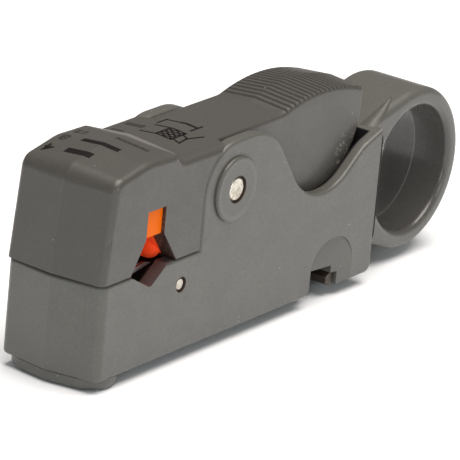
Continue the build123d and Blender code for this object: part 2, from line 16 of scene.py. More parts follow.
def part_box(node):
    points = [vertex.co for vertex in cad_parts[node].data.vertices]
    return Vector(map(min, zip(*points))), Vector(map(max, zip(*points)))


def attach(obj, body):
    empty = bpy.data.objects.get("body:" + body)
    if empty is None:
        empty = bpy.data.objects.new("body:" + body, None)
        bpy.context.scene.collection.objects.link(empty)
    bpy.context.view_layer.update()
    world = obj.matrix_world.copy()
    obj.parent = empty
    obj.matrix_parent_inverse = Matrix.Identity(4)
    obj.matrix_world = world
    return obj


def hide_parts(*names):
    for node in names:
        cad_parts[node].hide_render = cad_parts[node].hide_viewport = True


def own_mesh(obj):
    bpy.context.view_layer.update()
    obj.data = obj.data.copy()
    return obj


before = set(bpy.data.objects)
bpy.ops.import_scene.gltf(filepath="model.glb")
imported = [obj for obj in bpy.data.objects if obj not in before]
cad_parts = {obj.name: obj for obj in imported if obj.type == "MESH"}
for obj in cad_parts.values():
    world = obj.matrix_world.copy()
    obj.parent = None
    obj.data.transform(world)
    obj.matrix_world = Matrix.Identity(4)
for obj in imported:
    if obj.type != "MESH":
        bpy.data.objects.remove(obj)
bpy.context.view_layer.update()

bl_info = {
    "name": "Coaxial cable stripper",
    "version": (1, 0, 0),
    "blender": (4, 5, 0),
    "location": "3D View > Sidebar > Stripper",
    "description": "Finishes, print, springs and studio for the coaxial cable stripper",
    "category": "Object",
}

# Where the part's own axes lie in the frame
NOSE = Vector((-0.05325, 0.0, 0.0021))
MM = 0.001

# Lines across the tool, each as (x, z)
PIVOT = (35.2, 24.7)
CROSS_PIN = (22.4, 11.5)
RING = (92.4, 13.95)
PAD_TAIL = (71.0, 22.0)

# Faces that a finish ends at, each as the two values that its edge is spread over
BORE_WALL = (11.15, 11.75)
PIVOT_HOLE = (2.3, 2.42)
CROSS_HOLE = (1.3, 1.4)
OUTER_FACE = (8.9, 9.0)
SIDE_FACE = (9.38, 9.44)
WELL_WALL = (7.6, 7.75)

BOSS_RADIUS = 5.5
BLADE_PITCH = 4.0
BLADE_EDGE_START = (8.4, 12.9)
BLADE_EDGE_SLOPE = 0.154

# The saddle's lower lip, and the ink that lies on the lever
LIP_CENTRE = (19.9, 17.2)
LIP_RADII = (1.6, 1.9)
LIP_HALF_LONG = 6.4
LIP_DOME = 2.2
INK_LIFT = 0.012
INK_THICKNESS = 0.02

# In metres: what wound wire leaves free inside its solid, how much bolder the numbers are
# drawn, a height above the tool and the height that the lamps face
WIRE_CLEARANCE = 0.00001
BOLDNESS = 0.00007
ABOVE = 0.2
LIT_HEIGHT = 0.015

# Tints of dust, stains, scuffs and darkening, and of painted shade and highlights
SEAM_HIGHLIGHT = (0.30, 0.29, 0.28)
BOSS_FOOT_SHADE = (0.03, 0.027, 0.023)
BOSS_RIM_HIGHLIGHT = (0.26, 0.255, 0.25)
HOLE_SHADE = (0.035, 0.018, 0.010)
NOTCH_SHADE = (0.055, 0.034, 0.036)
WELL_SHADE = (0.012, 0.010, 0.014)
COMB_BLACK = (0.010, 0.008, 0.008)
DUST = (0.42, 0.41, 0.38)
MOUTH_SHADE = (0.030, 0.014, 0.011)
SCUFF_BROWN = (0.16, 0.105, 0.075)
CREST_HIGHLIGHT = (0.22, 0.205, 0.21)
PIN_STAIN = (0.46, 0.41, 0.33)
BARE_EDGE_AND_HIGHLIGHT = (0.86, 0.86, 0.84)


def place(x, y, z):
    """A point of the frame, in metres, from millimetres on the part's own axes."""
    return NOSE + Vector((x, y, z)) * MM


# Shader arithmetic


class Term:
    """A node's output that adds, multiplies and compares like a number."""

    def __init__(self, recipe, socket):
        self.recipe = recipe
        self.socket = socket

    def _math(self, operation, first, second=0.0):
        settings = {"operation": operation}
        return self.recipe.node("ShaderNodeMath", settings, {0: first, 1: second})

    def __add__(self, other):
        return self._math("ADD", self, other)

    def __radd__(self, other):
        return self._math("ADD", other, self)

    def __sub__(self, other):
        return self._math("SUBTRACT", self, other)

    def __rsub__(self, other):
        return self._math("SUBTRACT", other, self)

    def __mul__(self, other):
        return self._math("MULTIPLY", self, other)

    def size(self):
        return self._math("ABSOLUTE", self)

    def least(self, other):
        return self._math("MINIMUM", self, other)

    def root(self):
        return self._math("SQRT", self)

    def wave(self):
        return self._math("SINE", self)

    def step(self, low, high):
        """0 below low and 1 above high, with a soft passage between them."""
        settings = {"interpolation_type": "SMOOTHSTEP"}
        values = {"Value": self, "From Min": low, "From Max": high}
        return self.recipe.node("ShaderNodeMapRange", settings, values)

    def until(self, low, high):
        """1 below low and 0 above high."""
        return 1 - self.step(low, high)

    def between(self, start, end):
        """1 between two soft passages, each a pair of values, and 0 beyond them."""
        return self.step(*start) * self.until(*end)


class Recipe:
    """One material, built from nodes on the part's own axes in millimetres."""

    def __init__(self, name):
        self.material = bpy.data.materials.new(name)
        self.material.use_nodes = True
        self.tree = self.material.node_tree
        self.tree.nodes.clear()
        where = self.node("ShaderNodeTexCoord", out="Object")
        own = {"Vector": where, "Location": tuple(-NOSE / MM), "Scale": (1 / MM,) * 3}
        self.point = self.node("ShaderNodeMapping", {}, own)
        self.x, self.y, self.z = (
            self.node("ShaderNodeSeparateXYZ", {}, {0: self.point}, axis) for axis in "XYZ"
        )

    def node(self, kind, settings=None, values=None, out=0):
        """A node with its settings, then the values or links of its sockets."""
        made = self.tree.nodes.new(kind)
        for name, setting in (settings or {}).items():
            setattr(made, name, setting)
        for name, value in (values or {}).items():
            socket = made.inputs[name]
            if isinstance(value, Term):
                self.tree.links.new(value.socket, socket)
            else:
                socket.default_value = value
        return Term(self, made.outputs[out]) if made.outputs else made

    def noise(self, grain, detail=2.0, at=None):
        """Noise whose spots are about that many millimetres across."""
        values = {"Vector": at or self.point, "Scale": 1 / grain, "Detail": detail}
        return self.node("ShaderNodeTexNoise", {}, values)

    def blend(self, share, first, second):
        """first where share is 0, second where it is 1; both are colours."""
        settings = {"data_type": "RGBA"}
        values = {0: share, 6: opaque(first), 7: opaque(second)}
        return self.node("ShaderNodeMix", settings, values, 2)

    def stretched(self, scale):
        """The place with each axis scaled, for grain that runs one way."""
        return self.node("ShaderNodeMapping", {}, {"Vector": self.point, "Scale": scale})

    def off_axis(self, centre):
        """Distance from a line across the tool through (x, z)."""
        dx = self.x - centre[0]
        dz = self.z - centre[1]
        return (dx * dx + dz * dz).root()

    def specks(self, cell, radius, share):
        """Small round specks in that share of cells of that size."""
        values = {"Vector": self.point, "Scale": 1 / cell}
        near = self.node("ShaderNodeTexVoronoi", {}, values, "Distance")
        pick = self.node("ShaderNodeTexVoronoi", {}, values, "Color")
        chance = self.node("ShaderNodeSeparateXYZ", {}, {0: pick}, "X")
        chosen = chance.step(1 - share, 1 - share + 0.001)
        return near.until(radius * 0.6, radius) * chosen

    def bump(self, height, reach, strength=1.0):
        """A normal from a height whose full range stands reach millimetres high."""
        values = {"Height": height, "Distance": reach * MM, "Strength": strength}
        return self.node("ShaderNodeBump", {}, values)

    def finish(self, **values):
        """Ends the recipe in one shader; an underscore in a name stands for a space."""
        named = {name.replace("_", " "): value for name, value in values.items()}
        shader = self.node("ShaderNodeBsdfPrincipled", {}, named)
        self.node("ShaderNodeOutputMaterial", {}, {"Surface": shader})
        return self.material


def opaque(colour):
    """A colour as four numbers; a link stays as it is."""
    return colour if isinstance(colour, Term) else (*tuple(colour)[:3], 1.0)


def darker(colour, share):
    """That share of a colour's brightness."""
    return tuple(channel * share for channel in tuple(colour)[:3])


# Finishes


def moulded_plastic(name, colour, dark_colour, speck_colour, details):
    """Fine-grained plastic with faint mottling, flow lines, its own details and light specks."""
    made = Recipe(name)
    mottle = made.noise(5.0, 3.0).step(0.3, 0.7)
    flow = made.noise(1.0, 2.0, made.stretched((0.08, 0.5, 0.5))).step(0.35, 0.65)
    grain = made.noise(0.26, 3.0)
    shade = made.blend(mottle * 0.5 + flow * 0.3, darker(colour, 1.04), darker(colour, 0.93))
    shade = made.blend(grain.step(0.35, 0.65) * 0.6, shade, darker(colour, 0.74))
    rough = 0.36 + grain * 0.16 + mottle * 0.05
    shade, rough = details(made, shade, rough, dark_colour)
    speck = made.specks(0.7, 0.2, 0.007)
    shade = made.blend(speck * 0.45, shade, speck_colour)
    normal = made.bump(grain * 0.8 + flow * 0.2, 0.045, 0.6)
    return made.finish(
        Base_Color=shade,
        Roughness=rough,
        Specular_IOR_Level=0.42,
        Coat_Weight=0.3,
        Coat_Roughness=0.2,
        Normal=normal,
    )


def housing_details(made, shade, rough, dark):
    """The ring's bore, polished and darkened with painted shade, and a painted highlight along its
    seam;
    painted shade round the boss's foot and in each pin hole, a painted highlight on the boss's
    rim, and painted shade in the notch and well."""
    middle = made.y.size()
    bore = made.off_axis(RING).until(*BORE_WALL)
    seam = middle.until(0.04, 0.16)
    # Painted shade: the bore is darkened towards the bore colour
    shade = made.blend(bore * 0.5, shade, dark)
    # Painted highlight: a lighter line along the mould seam in the bore
    shade = made.blend(bore * seam * 0.5, shade, SEAM_HIGHLIGHT)
    rough = rough - bore * 0.2
    outside = middle.step(*OUTER_FACE)
    boss_foot = made.off_axis(PIVOT) - BOSS_RADIUS
    # Painted shade round the foot of the boss
    boss_foot_shade = (boss_foot - 0.1).size().until(0.05, 0.4) * outside
    # Painted highlight on the boss's rounded rim
    boss_rim_highlight = (boss_foot + 0.75).size().until(0.1, 0.5) * outside
    shade = made.blend(boss_foot_shade * 0.38, shade, BOSS_FOOT_SHADE)
    shade = made.blend(boss_rim_highlight * 0.09, shade, BOSS_RIM_HIGHLIGHT)
    # Painted shade on the walls of each pin hole
    shaded_holes = made.off_axis(PIVOT).until(*PIVOT_HOLE) + made.off_axis(CROSS_PIN).until(*CROSS_HOLE)
    shade = made.blend(shaded_holes * outside * 0.85, shade, HOLE_SHADE)
    # Painted shade on the inner walls of the notch
    notch = middle.until(*SIDE_FACE) * made.z.step(12.9, 13.2)
    notch = notch * made.x.between((7.6, 7.8), (19, 19.5))
    shade = made.blend(notch * 0.75, shade, NOTCH_SHADE)
    # Painted shade in the well inside the body
    well = made.x.between((62, 63), (76.6, 76.7)) * made.z.between((2.0, 4.0), (24.3, 24.9))
    well = well * middle.until(*WELL_WALL)
    shade = made.blend(well * 0.85, shade, WELL_SHADE)
    return shade, rough


def holder_details(made, shade, rough, dark):
    """The comb inside the jaw, darkened nearly to black; the foot below keeps the body's grey."""
    comb = made.z.step(2.2, 2.8)
    return made.blend(comb * 0.93, shade, COMB_BLACK), rough + comb * 0.15


def lever_details(made, shade, rough, dark):
    """Rubbed crests in the grip, dust at the pad's tail, painted shade in the mouth and a painted
    highlight along the edge behind the head."""
    pad = made.x.step(50.5, 51.5) * made.z.step(32.2, 32.6)
    rubbed = made.noise(2.0, 3.0).step(0.4, 0.65)
    shade = made.blend(pad * rubbed * 0.10, shade, dark)
    near_tail = made.off_axis(PAD_TAIL).until(1.0, 4.6)
    flecks = made.noise(0.4, 4.0).step(0.53, 0.6) * made.noise(2.2, 2.0).step(0.42, 0.55)
    shade = made.blend(near_tail * flecks * 0.6, shade, DUST)
    # Painted shade in the mouth, with scuffs over it
    mouth = made.y.size().until(*SIDE_FACE) * made.x.between((6.0, 6.3), (22.2, 22.6))
    mouth = mouth * made.z.until(27.0, 27.4)
    scuffs = made.noise(0.45, 4.0).step(0.5, 0.62)
    shade = made.blend(mouth * 0.9, shade, MOUTH_SHADE)
    shade = made.blend(mouth * scuffs * 0.55, shade, SCUFF_BROWN)
    # Painted highlight along the edge behind the head
    crest = made.x - 18.0 - made.y * made.y * 0.012
    edge = crest.size().until(0.15, 1.1) * made.z.step(34.0, 34.4)
    shade = made.blend(edge * 0.55, shade, CREST_HIGHLIGHT)
    return shade, rough + pad * 0.04


def orange_plastic(name, colour, deep_colour):
    """Orange moulding whose lower part is painted deep red as shade and given a faint painted
    glow.
    """
    made = Recipe(name)
    cloud = made.noise(3.0, 2.0).step(0.3, 0.7)
    # Painted shade and glow: below this height the colour turns deep red and the surface gives off
    # a faint red light
    inside = made.z.until(20.6, 21.3)
    grain = made.noise(0.3, 2.0)
    shade = made.blend(cloud * 0.15, colour, darker(colour, 0.9))
    shade = made.blend(inside * 0.8, shade, deep_colour)
    painted_glow = made.blend(inside, (0.0, 0.0, 0.0), darker(deep_colour, 0.16))
    return made.finish(
        Base_Color=shade,
        Emission_Color=painted_glow,
        Emission_Strength=1.0,
        Roughness=0.34 + grain * 0.12,
        Specular_IOR_Level=0.08,
        Normal=made.bump(grain, 0.008, 0.4),
    )


def turned_metal(name, colour, rough, centres, stain):
    """Bright metal with fine turning marks about each of the lines across the tool."""
    made = Recipe(name)
    rings = 0.0
    groove_waves = 42.0     # radians per millimetre
    for centre in centres:
        ring = (made.off_axis(centre) * groove_waves).wave() * 0.5 + 0.5
        close = made.off_axis(centre).until(2.6, 3.0)
        rings = ring * close + rings
    tarnish = made.noise(0.8, 4.0).step(0.42, 0.62)
    shade = made.blend(tarnish * 0.75, colour, stain)
    normal = made.bump(rings * 0.3 + made.noise(0.3, 3.0) * 0.7, 0.05, 0.8)
    return made.finish(
        Base_Color=shade, Roughness=rough + tarnish * 0.14, Metallic=1.0, Normal=normal
    )


def drawn_metal(name, colour, rough, along, metallic=1.0):
    """Metal with fine lines that run one way, and faint uneven colour."""
    made = Recipe(name)
    lines = made.noise(0.09, 2.0, made.stretched(along))
    tarnish = made.noise(0.9, 3.0).step(0.35, 0.7)
    shade = made.blend(tarnish * 0.4, colour, darker(colour, 0.68))
    normal = made.bump(lines, 0.004, 0.5)
    return made.finish(
        Base_Color=shade,
        Roughness=rough + lines * 0.12 + tarnish * 0.06,
        Metallic=metallic,
        Normal=normal,
    )


def ground_blade(name, colour):
    """Blade steel: ground sides, and a bevel along the cutting edge painted near-white and half
    matt, partly bare steel and partly a painted highlight.
    """
    made = Recipe(name)
    start_x, start_z = BLADE_EDGE_START
    edge_line = made.z - start_z - (made.x - start_x) * BLADE_EDGE_SLOPE
    from_middle = made.y.size()
    off_blade = from_middle.least((from_middle - BLADE_PITCH).size())
    bevel = edge_line.step(-0.75, -0.68) * off_blade.step(0.14, 0.18)
    lines = made.noise(0.06, 2.0, made.stretched((0.6, 1.0, 0.05)))
    # Partly painted highlight: the bare bevel is near-white and mostly matt, so it reads as a
    # bright line
    shade = made.blend(bevel * 0.9, colour, BARE_EDGE_AND_HIGHLIGHT)
    normal = made.bump(lines, 0.004, 0.7)
    return made.finish(
        Base_Color=shade,
        Roughness=0.34 + bevel * 0.2 + lines * 0.1,
        Metallic=1 - bevel * 0.7,
        Normal=normal,
    )


def printed_ink(name, colour, worn_colour, wear):
    """Pad-printed ink, matt and worn through in small spots."""
    made = Recipe(name)
    spots = made.noise(0.35, 4.0).step(0.52 - wear * 0.2, 0.72 - wear * 0.2)
    shade = made.blend(spots * (0.12 + wear * 0.7), colour, worn_colour)
    return made.finish(
        Base_Color=shade,
        Roughness=0.6 + spots * 0.1,
        Specular_IOR_Level=0.12,
        Normal=made.bump(spots, 0.003),
    )


def pale_floor(name, colour):
    """Matt studio paper."""
    made = Recipe(name)
    fibre = made.noise(1.5, 3.0)
    shade = made.blend(fibre * 0.05, colour, darker(colour, 0.97))
    return made.finish(Base_Color=shade, Roughness=0.85, Normal=made.bump(fibre, 0.01, 0.2))


def dress(node_name, material):
    """Puts a material on a CAD node's own slots."""
    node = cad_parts[node_name]
    for slot in node.material_slots:
        slot.material = material
    if not node.material_slots:
        node.data.materials.append(material)


# Meshes


def plain_mesh(made_with, name):
    """The evaluated object as a new object with a plain mesh; the working object goes."""
    bpy.context.view_layer.update()
    seen = made_with.evaluated_get(bpy.context.evaluated_depsgraph_get())
    mesh = bpy.data.meshes.new_from_object(seen)
    matrix = made_with.matrix_world.copy()
    bpy.data.objects.remove(made_with)
    mesh.transform(matrix)
    mesh.name = name
    finishes = [material for material in mesh.materials if material]
    mesh.materials.clear()
    for material in finishes[:1]:
        mesh.materials.append(material)
    mesh.polygons.foreach_set("material_index", [0] * len(mesh.polygons))
    piece = bpy.data.objects.new(name, mesh)
    bpy.context.scene.collection.objects.link(piece)
    return piece


def rounded_bar(name, material, centre, radii, half_long, dome):
    """An oval bar across the tool, whose ends bulge by dome; centre and radii are (x, z)."""
    shape = bmesh.new()
    bmesh.ops.create_uvsphere(shape, u_segments=32, v_segments=24, radius=1.0)
    for vertex in shape.verts:
        along, across, high = vertex.co.z, vertex.co.x, vertex.co.y
        side = math.copysign(half_long - dome, along) if abs(along) > 1e-6 else 0.0
        y = side + along * dome
        vertex.co = place(centre[0] + across * radii[0], y, centre[1] + high * radii[1])
    bmesh.ops.recalc_face_normals(shape, faces=shape.faces[:])
    mesh = bpy.data.meshes.new(name)
    shape.to_mesh(mesh)
    shape.free()
    for face in mesh.polygons:
        face.use_smooth = True
    mesh.materials.append(material)
    bar = bpy.data.objects.new(name, mesh)
    bpy.context.scene.collection.objects.link(bar)
    return bar


def joined(name, pieces):
    """Several plain pieces as one."""
    whole = bmesh.new()
    materials = []
    for piece in pieces:
        whole.from_mesh(piece.data)
        materials += [m for m in piece.data.materials if m not in materials]
        bpy.data.objects.remove(piece)
    mesh = bpy.data.meshes.new(name)
    whole.to_mesh(mesh)
    whole.free()
    for material in materials:
        mesh.materials.append(material)
    made = bpy.data.objects.new(name, mesh)
    bpy.context.scene.collection.objects.link(made)
    return made


def surface_of(node_name):
    """A tree of a CAD node's faces, to set things down on."""
    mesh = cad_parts[node_name].data
    corners = [v.co for v in mesh.vertices]
    return BVHTree.FromPolygons(corners, [tuple(p.vertices) for p in mesh.polygons])


def drape(piece, surface, lines_x):
    """Lays a flat print on a surface from above, cut so that it bends with it."""
    shape = bmesh.new()
    shape.from_mesh(piece.data)
    cuts = [((x * MM + NOSE.x, 0, 0), (1, 0, 0)) for x in lines_x]
    cuts.append(((0, 0, 0), (0, 1, 0)))
    for point, normal in cuts:
        geometry = shape.verts[:] + shape.edges[:] + shape.faces[:]
        bmesh.ops.bisect_plane(shape, geom=geometry, plane_co=point, plane_no=normal, dist=1e-7)
    for vertex in shape.verts:
        start = Vector((vertex.co.x, vertex.co.y, ABOVE))
        hit, normal, _, _ = surface.ray_cast(start, Vector((0, 0, -1)))
        if hit is None:
            raise RuntimeError(f"{piece.name} reaches past the surface that it is printed on")
        vertex.co = hit + normal * INK_LIFT * MM
    bmesh.ops.remove_doubles(shape, verts=shape.verts[:], dist=1e-7)
    for face in shape.faces:
        face.normal_update()
        if face.normal.z < 0:
            face.normal_flip()
    shape.to_mesh(piece.data)
    shape.free()
    solid = piece.modifiers.new("thickness", "SOLIDIFY")
    solid.thickness = INK_THICKNESS * MM
    solid.offset = 1.0
    return plain_mesh(piece, piece.name)


# Geometry node trees


class NodePlan:
    """A geometry node tree with named inputs, ending in real geometry and a material."""

    def __init__(self, name, inputs):
        self.tree = bpy.data.node_groups.new(name, "GeometryNodeTree")
        self.keys = {}
        for label, kind, default in inputs:
            socket = self.tree.interface.new_socket(label, in_out="INPUT", socket_type=kind)
            if default is not None:
                socket.default_value = default
            self.keys[label] = socket.identifier
        self.tree.interface.new_socket(
            "Geometry", in_out="OUTPUT", socket_type="NodeSocketGeometry"
        )
        self.given = self.tree.nodes.new("NodeGroupInput")

    def node(self, kind, settings=None, values=None):
        """A node; a value that is a (node, output name) pair is a link."""
        made = self.tree.nodes.new(kind)
        for name, setting in (settings or {}).items():
            setattr(made, name, setting)
        for name, value in (values or {}).items():
            links = value if isinstance(value, list) else [value]
            for one in links:
                if isinstance(one, tuple) and isinstance(one[0], bpy.types.Node):
                    self.tree.links.new(one[0].outputs[one[1]], made.inputs[name])
                else:
                    made.inputs[name].default_value = one
        return made

    def end(self, geometry):
        real = self.node("GeometryNodeRealizeInstances", {}, {"Geometry": geometry})
        painted = self.node(
            "GeometryNodeSetMaterial",
            {},
            {"Geometry": (real, "Geometry"), "Material": (self.given, "Material")},
        )
        out = self.tree.nodes.new("NodeGroupOutput")
        self.tree.links.new(painted.outputs["Geometry"], out.inputs["Geometry"])

    def make(self, name, **values):
        """A plain object from the tree with these inputs."""
        mesh = bpy.data.meshes.new(name)
        working = bpy.data.objects.new(name + ".plan", mesh)
        bpy.context.scene.collection.objects.link(working)
        modifier = working.modifiers.new("plan", "NODES")
        modifier.node_group = self.tree
        for label, value in values.items():
            modifier[self.keys[label.replace("_", " ")]] = value
        return plain_mesh(working, name)


def coil_plan():
    """A row of coil springs with closed end turns."""
    plan = NodePlan(
        "coil spring",
        [
            ("Turns", "NodeSocketFloat", 6.0),
            ("Coil Radius", "NodeSocketFloat", 0.0036),
            ("Rise", "NodeSocketFloat", 0.02),
            ("Wire Radius", "NodeSocketFloat", 0.0005),
            ("Foot", "NodeSocketVector", None),
            ("Row", "NodeSocketInt", 1),
            ("Pitch", "NodeSocketVector", None),
            ("Material", "NodeSocketMaterial", None),
        ],
    )
    given = plan.given
    helix = plan.node(
        "GeometryNodeCurveSpiral",
        {},
        {
            "Resolution": 28,
            "Rotations": (given, "Turns"),
            "Start Radius": (given, "Coil Radius"),
            "End Radius": (given, "Coil Radius"),
            "Height": (given, "Rise"),
        },
    )
    turn = plan.node(
        "GeometryNodeCurvePrimitiveCircle",
        {},
        {"Resolution": 32, "Radius": (given, "Coil Radius")},
    )
    lift = plan.node("ShaderNodeCombineXYZ", {}, {"Z": (given, "Rise")})
    top_turn = plan.node(
        "GeometryNodeTransform", {}, {"Geometry": (turn, "Curve"), "Translation": (lift, "Vector")}
    )
    wires = plan.node(
        "GeometryNodeJoinGeometry",
        {},
        {"Geometry": [(helix, "Curve"), (turn, "Curve"), (top_turn, "Geometry")]},
    )
    section = plan.node(
        "GeometryNodeCurvePrimitiveCircle",
        {},
        {"Resolution": 12, "Radius": (given, "Wire Radius")},
    )
    wire = plan.node(
        "GeometryNodeCurveToMesh",
        {},
        {"Curve": (wires, "Geometry"), "Profile Curve": (section, "Curve"), "Fill Caps": True},
    )
    smooth = plan.node("GeometryNodeSetShadeSmooth", {}, {"Geometry": (wire, "Mesh")})
    row = plan.node(
        "GeometryNodeMeshLine",
        {"mode": "OFFSET"},
        {"Count": (given, "Row"), "Start Location": (given, "Foot"), "Offset": (given, "Pitch")},
    )
    springs = plan.node(
        "GeometryNodeInstanceOnPoints",
        {},
        {"Points": (row, "Mesh"), "Instance": (smooth, "Geometry")},
    )
    plan.end((springs, "Instances"))
    return plan


def wound(plan, name, metal, box, wire, turns, row=1, pitch=0.0):
    """A row of coils that fill a solid's box; wire is the wire's radius in metres."""
    low, high = box
    return plan.make(
        name,
        Turns=float(turns),
        Coil_Radius=(high.x - low.x) / 2 - wire - WIRE_CLEARANCE,
        Rise=high.z - low.z - 2 * wire,
        Wire_Radius=wire,
        Foot=Vector(((low.x + high.x) / 2, (low.y + high.y) / 2, low.z + wire)),
        Row=row,
        Pitch=Vector((0, pitch, 0)),
        Material=metal,
    )


def stroke_plan():
    """A row of flat strokes, such as a bar of the scale or the strands of a braid."""
    plan = NodePlan(
        "print strokes",
        [
            ("Count", "NodeSocketInt", 1),
            ("First", "NodeSocketVector", None),
            ("Pitch", "NodeSocketVector", None),
            ("Long", "NodeSocketFloat", 0.004),
            ("Wide", "NodeSocketFloat", 0.0003),
            ("Turn", "NodeSocketFloat", 0.0),
            ("Material", "NodeSocketMaterial", None),
        ],
    )
    given = plan.given
    stroke = plan.node(
        "GeometryNodeMeshGrid",
        {},
        {
            "Size X": (given, "Long"),
            "Size Y": (given, "Wide"),
            "Vertices X": 2,
            "Vertices Y": 2,
        },
    )
    row = plan.node(
        "GeometryNodeMeshLine",
        {"mode": "OFFSET"},
        {
            "Count": (given, "Count"),
            "Start Location": (given, "First"),
            "Offset": (given, "Pitch"),
        },
    )
    turn = plan.node("ShaderNodeCombineXYZ", {}, {"Z": (given, "Turn")})
    strokes = plan.node(
        "GeometryNodeInstanceOnPoints",
        {},
        {"Points": (row, "Mesh"), "Instance": (stroke, "Mesh"), "Rotation": (turn, "Vector")},
    )
    plan.end((strokes, "Instances"))
    return plan


# Printed marks


def strokes(plan, name, ink, x, y, long, wide, turn=0.0, count=1, pitch=(0, 0)):
    """Flat strokes centred on (x, y), turned that many degrees from the tool's length."""
    return plan.make(
        name,
        Count=count,
        First=place(x, y, 0),
        Pitch=Vector((*pitch, 0)) * MM,
        Long=long * MM,
        Wide=wide * MM,
        Turn=math.radians(turn),
        Material=ink,
    )


def line(plan, name, ink, start, end, wide):
    """One flat stroke between two points."""
    along = Vector(end) - Vector(start)
    middle = (Vector(end) + Vector(start)) / 2
    turn = math.degrees(math.atan2(along.y, along.x))
    return strokes(plan, name, ink, middle.x, middle.y, along.length + wide, wide, turn)


def number(text, ink, x, y, height):
    """A plain number read from the ring, its middle at (x, y)."""
    digit_share = 0.7       # a digit's height over the font's size
    curve = bpy.data.curves.new("number " + text, "FONT")
    curve.body = text
    curve.size = height * MM / digit_share
    curve.align_x = "CENTER"
    curve.align_y = "CENTER"
    curve.offset = BOLDNESS
    curve.materials.append(ink)
    working = bpy.data.objects.new("number " + text, curve)
    bpy.context.scene.collection.objects.link(working)
    turned = Matrix.Rotation(math.pi / 2, 4, "Z")
    working.matrix_world = Matrix.Translation(place(x, y, 0)) @ turned
    return plain_mesh(working, "number_" + text)


def clipped(piece, low, high):
    """Cuts a flat piece to the rectangle between two corners."""
    shape = bmesh.new()
    shape.from_mesh(piece.data)
    for corner, sign in ((low, -1), (high, 1)):
        for axis in ((1, 0, 0), (0, 1, 0)):
            bmesh.ops.bisect_plane(
                shape,
                geom=shape.verts[:] + shape.edges[:] + shape.faces[:],
                plane_co=place(*corner, 0),
                plane_no=Vector(axis) * sign,
                clear_outer=True,
                dist=1e-8,
            )
    shape.to_mesh(piece.data)
    shape.free()
    return piece


# Settings a user would change


class StripperColours(bpy.types.PropertyGroup):
    """Colours of the finishes."""

    body: FloatVectorProperty(
        name="Body",
        description="Moulded body and ring",
        subtype="COLOR",
        default=(0.0885, 0.0890, 0.0790),
    )
    lever: FloatVectorProperty(
        name="Lever",
        description="Jaw lever and thumb pad",
        subtype="COLOR",
        default=(0.0590, 0.0566, 0.0500),
    )
    # Painted shade for the ring's bore; the lever's pad also takes this colour for its darker
    # patches
    bore: FloatVectorProperty(
        name="Bore",
        description="Polished inside of the ring",
        subtype="COLOR",
        default=(0.046, 0.044, 0.044),
    )
    speck: FloatVectorProperty(
        name="Specks",
        description="Light specks in the plastic",
        subtype="COLOR",
        default=(0.55, 0.53, 0.47),
    )
    saddle: FloatVectorProperty(
        name="Saddle",
        description="Cable saddle",
        subtype="COLOR",
        default=(0.74, 0.13, 0.001),
    )
    saddle_deep: FloatVectorProperty(
        name="Saddle, deep",
        description="Saddle where it is shaded",
        subtype="COLOR",
        default=(1.0, 0.075, 0.022),
    )
    pin: FloatVectorProperty(
        name="Pins",
        description="Pivot pin and cross pin",
        subtype="COLOR",
        default=(0.66, 0.635, 0.565),
    )
    blade: FloatVectorProperty(
        name="Blades",
        description="Blued blade steel",
        subtype="COLOR",
        default=(0.14, 0.135, 0.13),
    )
    screw: FloatVectorProperty(
        name="Screws",
        description="Blackened depth screws",
        subtype="COLOR",
        default=(0.060, 0.058, 0.062),
    )
    brass: FloatVectorProperty(
        name="Inserts",
        description="Threaded inserts",
        subtype="COLOR",
        default=(0.62, 0.42, 0.16),
    )
    spring: FloatVectorProperty(
        name="Springs",
        description="Spring wire",
        subtype="COLOR",
        default=(0.46, 0.46, 0.47),
    )
    key: FloatVectorProperty(
        name="Key",
        description="Blackened hex key",
        subtype="COLOR",
        default=(0.085, 0.068, 0.056),
    )
    ink: FloatVectorProperty(
        name="Ink",
        description="Printed scale",
        subtype="COLOR",
        default=(0.008, 0.005, 0.006),
    )
    floor: FloatVectorProperty(
        name="Floor",
        description="Studio paper",
        subtype="COLOR",
        default=(0.92, 0.955, 0.985),
    )


class StripperSizes(bpy.types.PropertyGroup):
    """Sizes of what the scene adds."""

    line_width: FloatProperty(
        name="Line width", description="Lines of the cable drawing", unit="LENGTH", default=0.00034
    )
    number_height: FloatProperty(
        name="Number height", description="Numbers of the scale", unit="LENGTH", default=0.0022
    )
    braid_strands: IntProperty(
        name="Braid strands",
        description="Strands each way in the drawing",
        default=7,
        min=2,
        max=20,
    )
    lever_coils: IntProperty(
        name="Lever spring turns",
        description="Working turns under the pad",
        default=6,
        min=3,
        max=12,
    )
    blade_coils: IntProperty(
        name="Blade spring turns",
        description="Working turns under each blade",
        default=5,
        min=3,
        max=12,
    )
    key_light: FloatProperty(
        name="Key light",
        description="Power of the soft light",
        subtype="POWER",
        unit="POWER",
        default=1.5,
    )
    top_light: FloatProperty(
        name="Top light",
        description="Power of the large light",
        subtype="POWER",
        unit="POWER",
        default=36.0,
    )
    nose_light: FloatProperty(
        name="Nose light",
        description="Power of the light before the nose",
        subtype="POWER",
        unit="POWER",
        default=1.5,
    )
    room_light: FloatProperty(
        name="Room light", description="Even light of the room", default=0.24
    )


def colours():
    return bpy.context.scene.stripper_colours


def sizes():
    return bpy.context.scene.stripper_sizes


# Operators


class STRIPPER_OT_housing(bpy.types.Operator):
    """Gives the body, its ring and the blade holder their moulded finish"""

    bl_idname = "stripper.housing"
    bl_label = "Housing"

    def execute(self, context):
        c = colours()
        body = moulded_plastic("body plastic", c.body, c.bore, c.speck, housing_details)
        dress("main_housing", body)
        shaded = darker(c.body, 0.97)
        holder = moulded_plastic("holder plastic", shaded, c.bore, c.speck, holder_details)
        dress("blade_holder", holder)
        return {"FINISHED"}


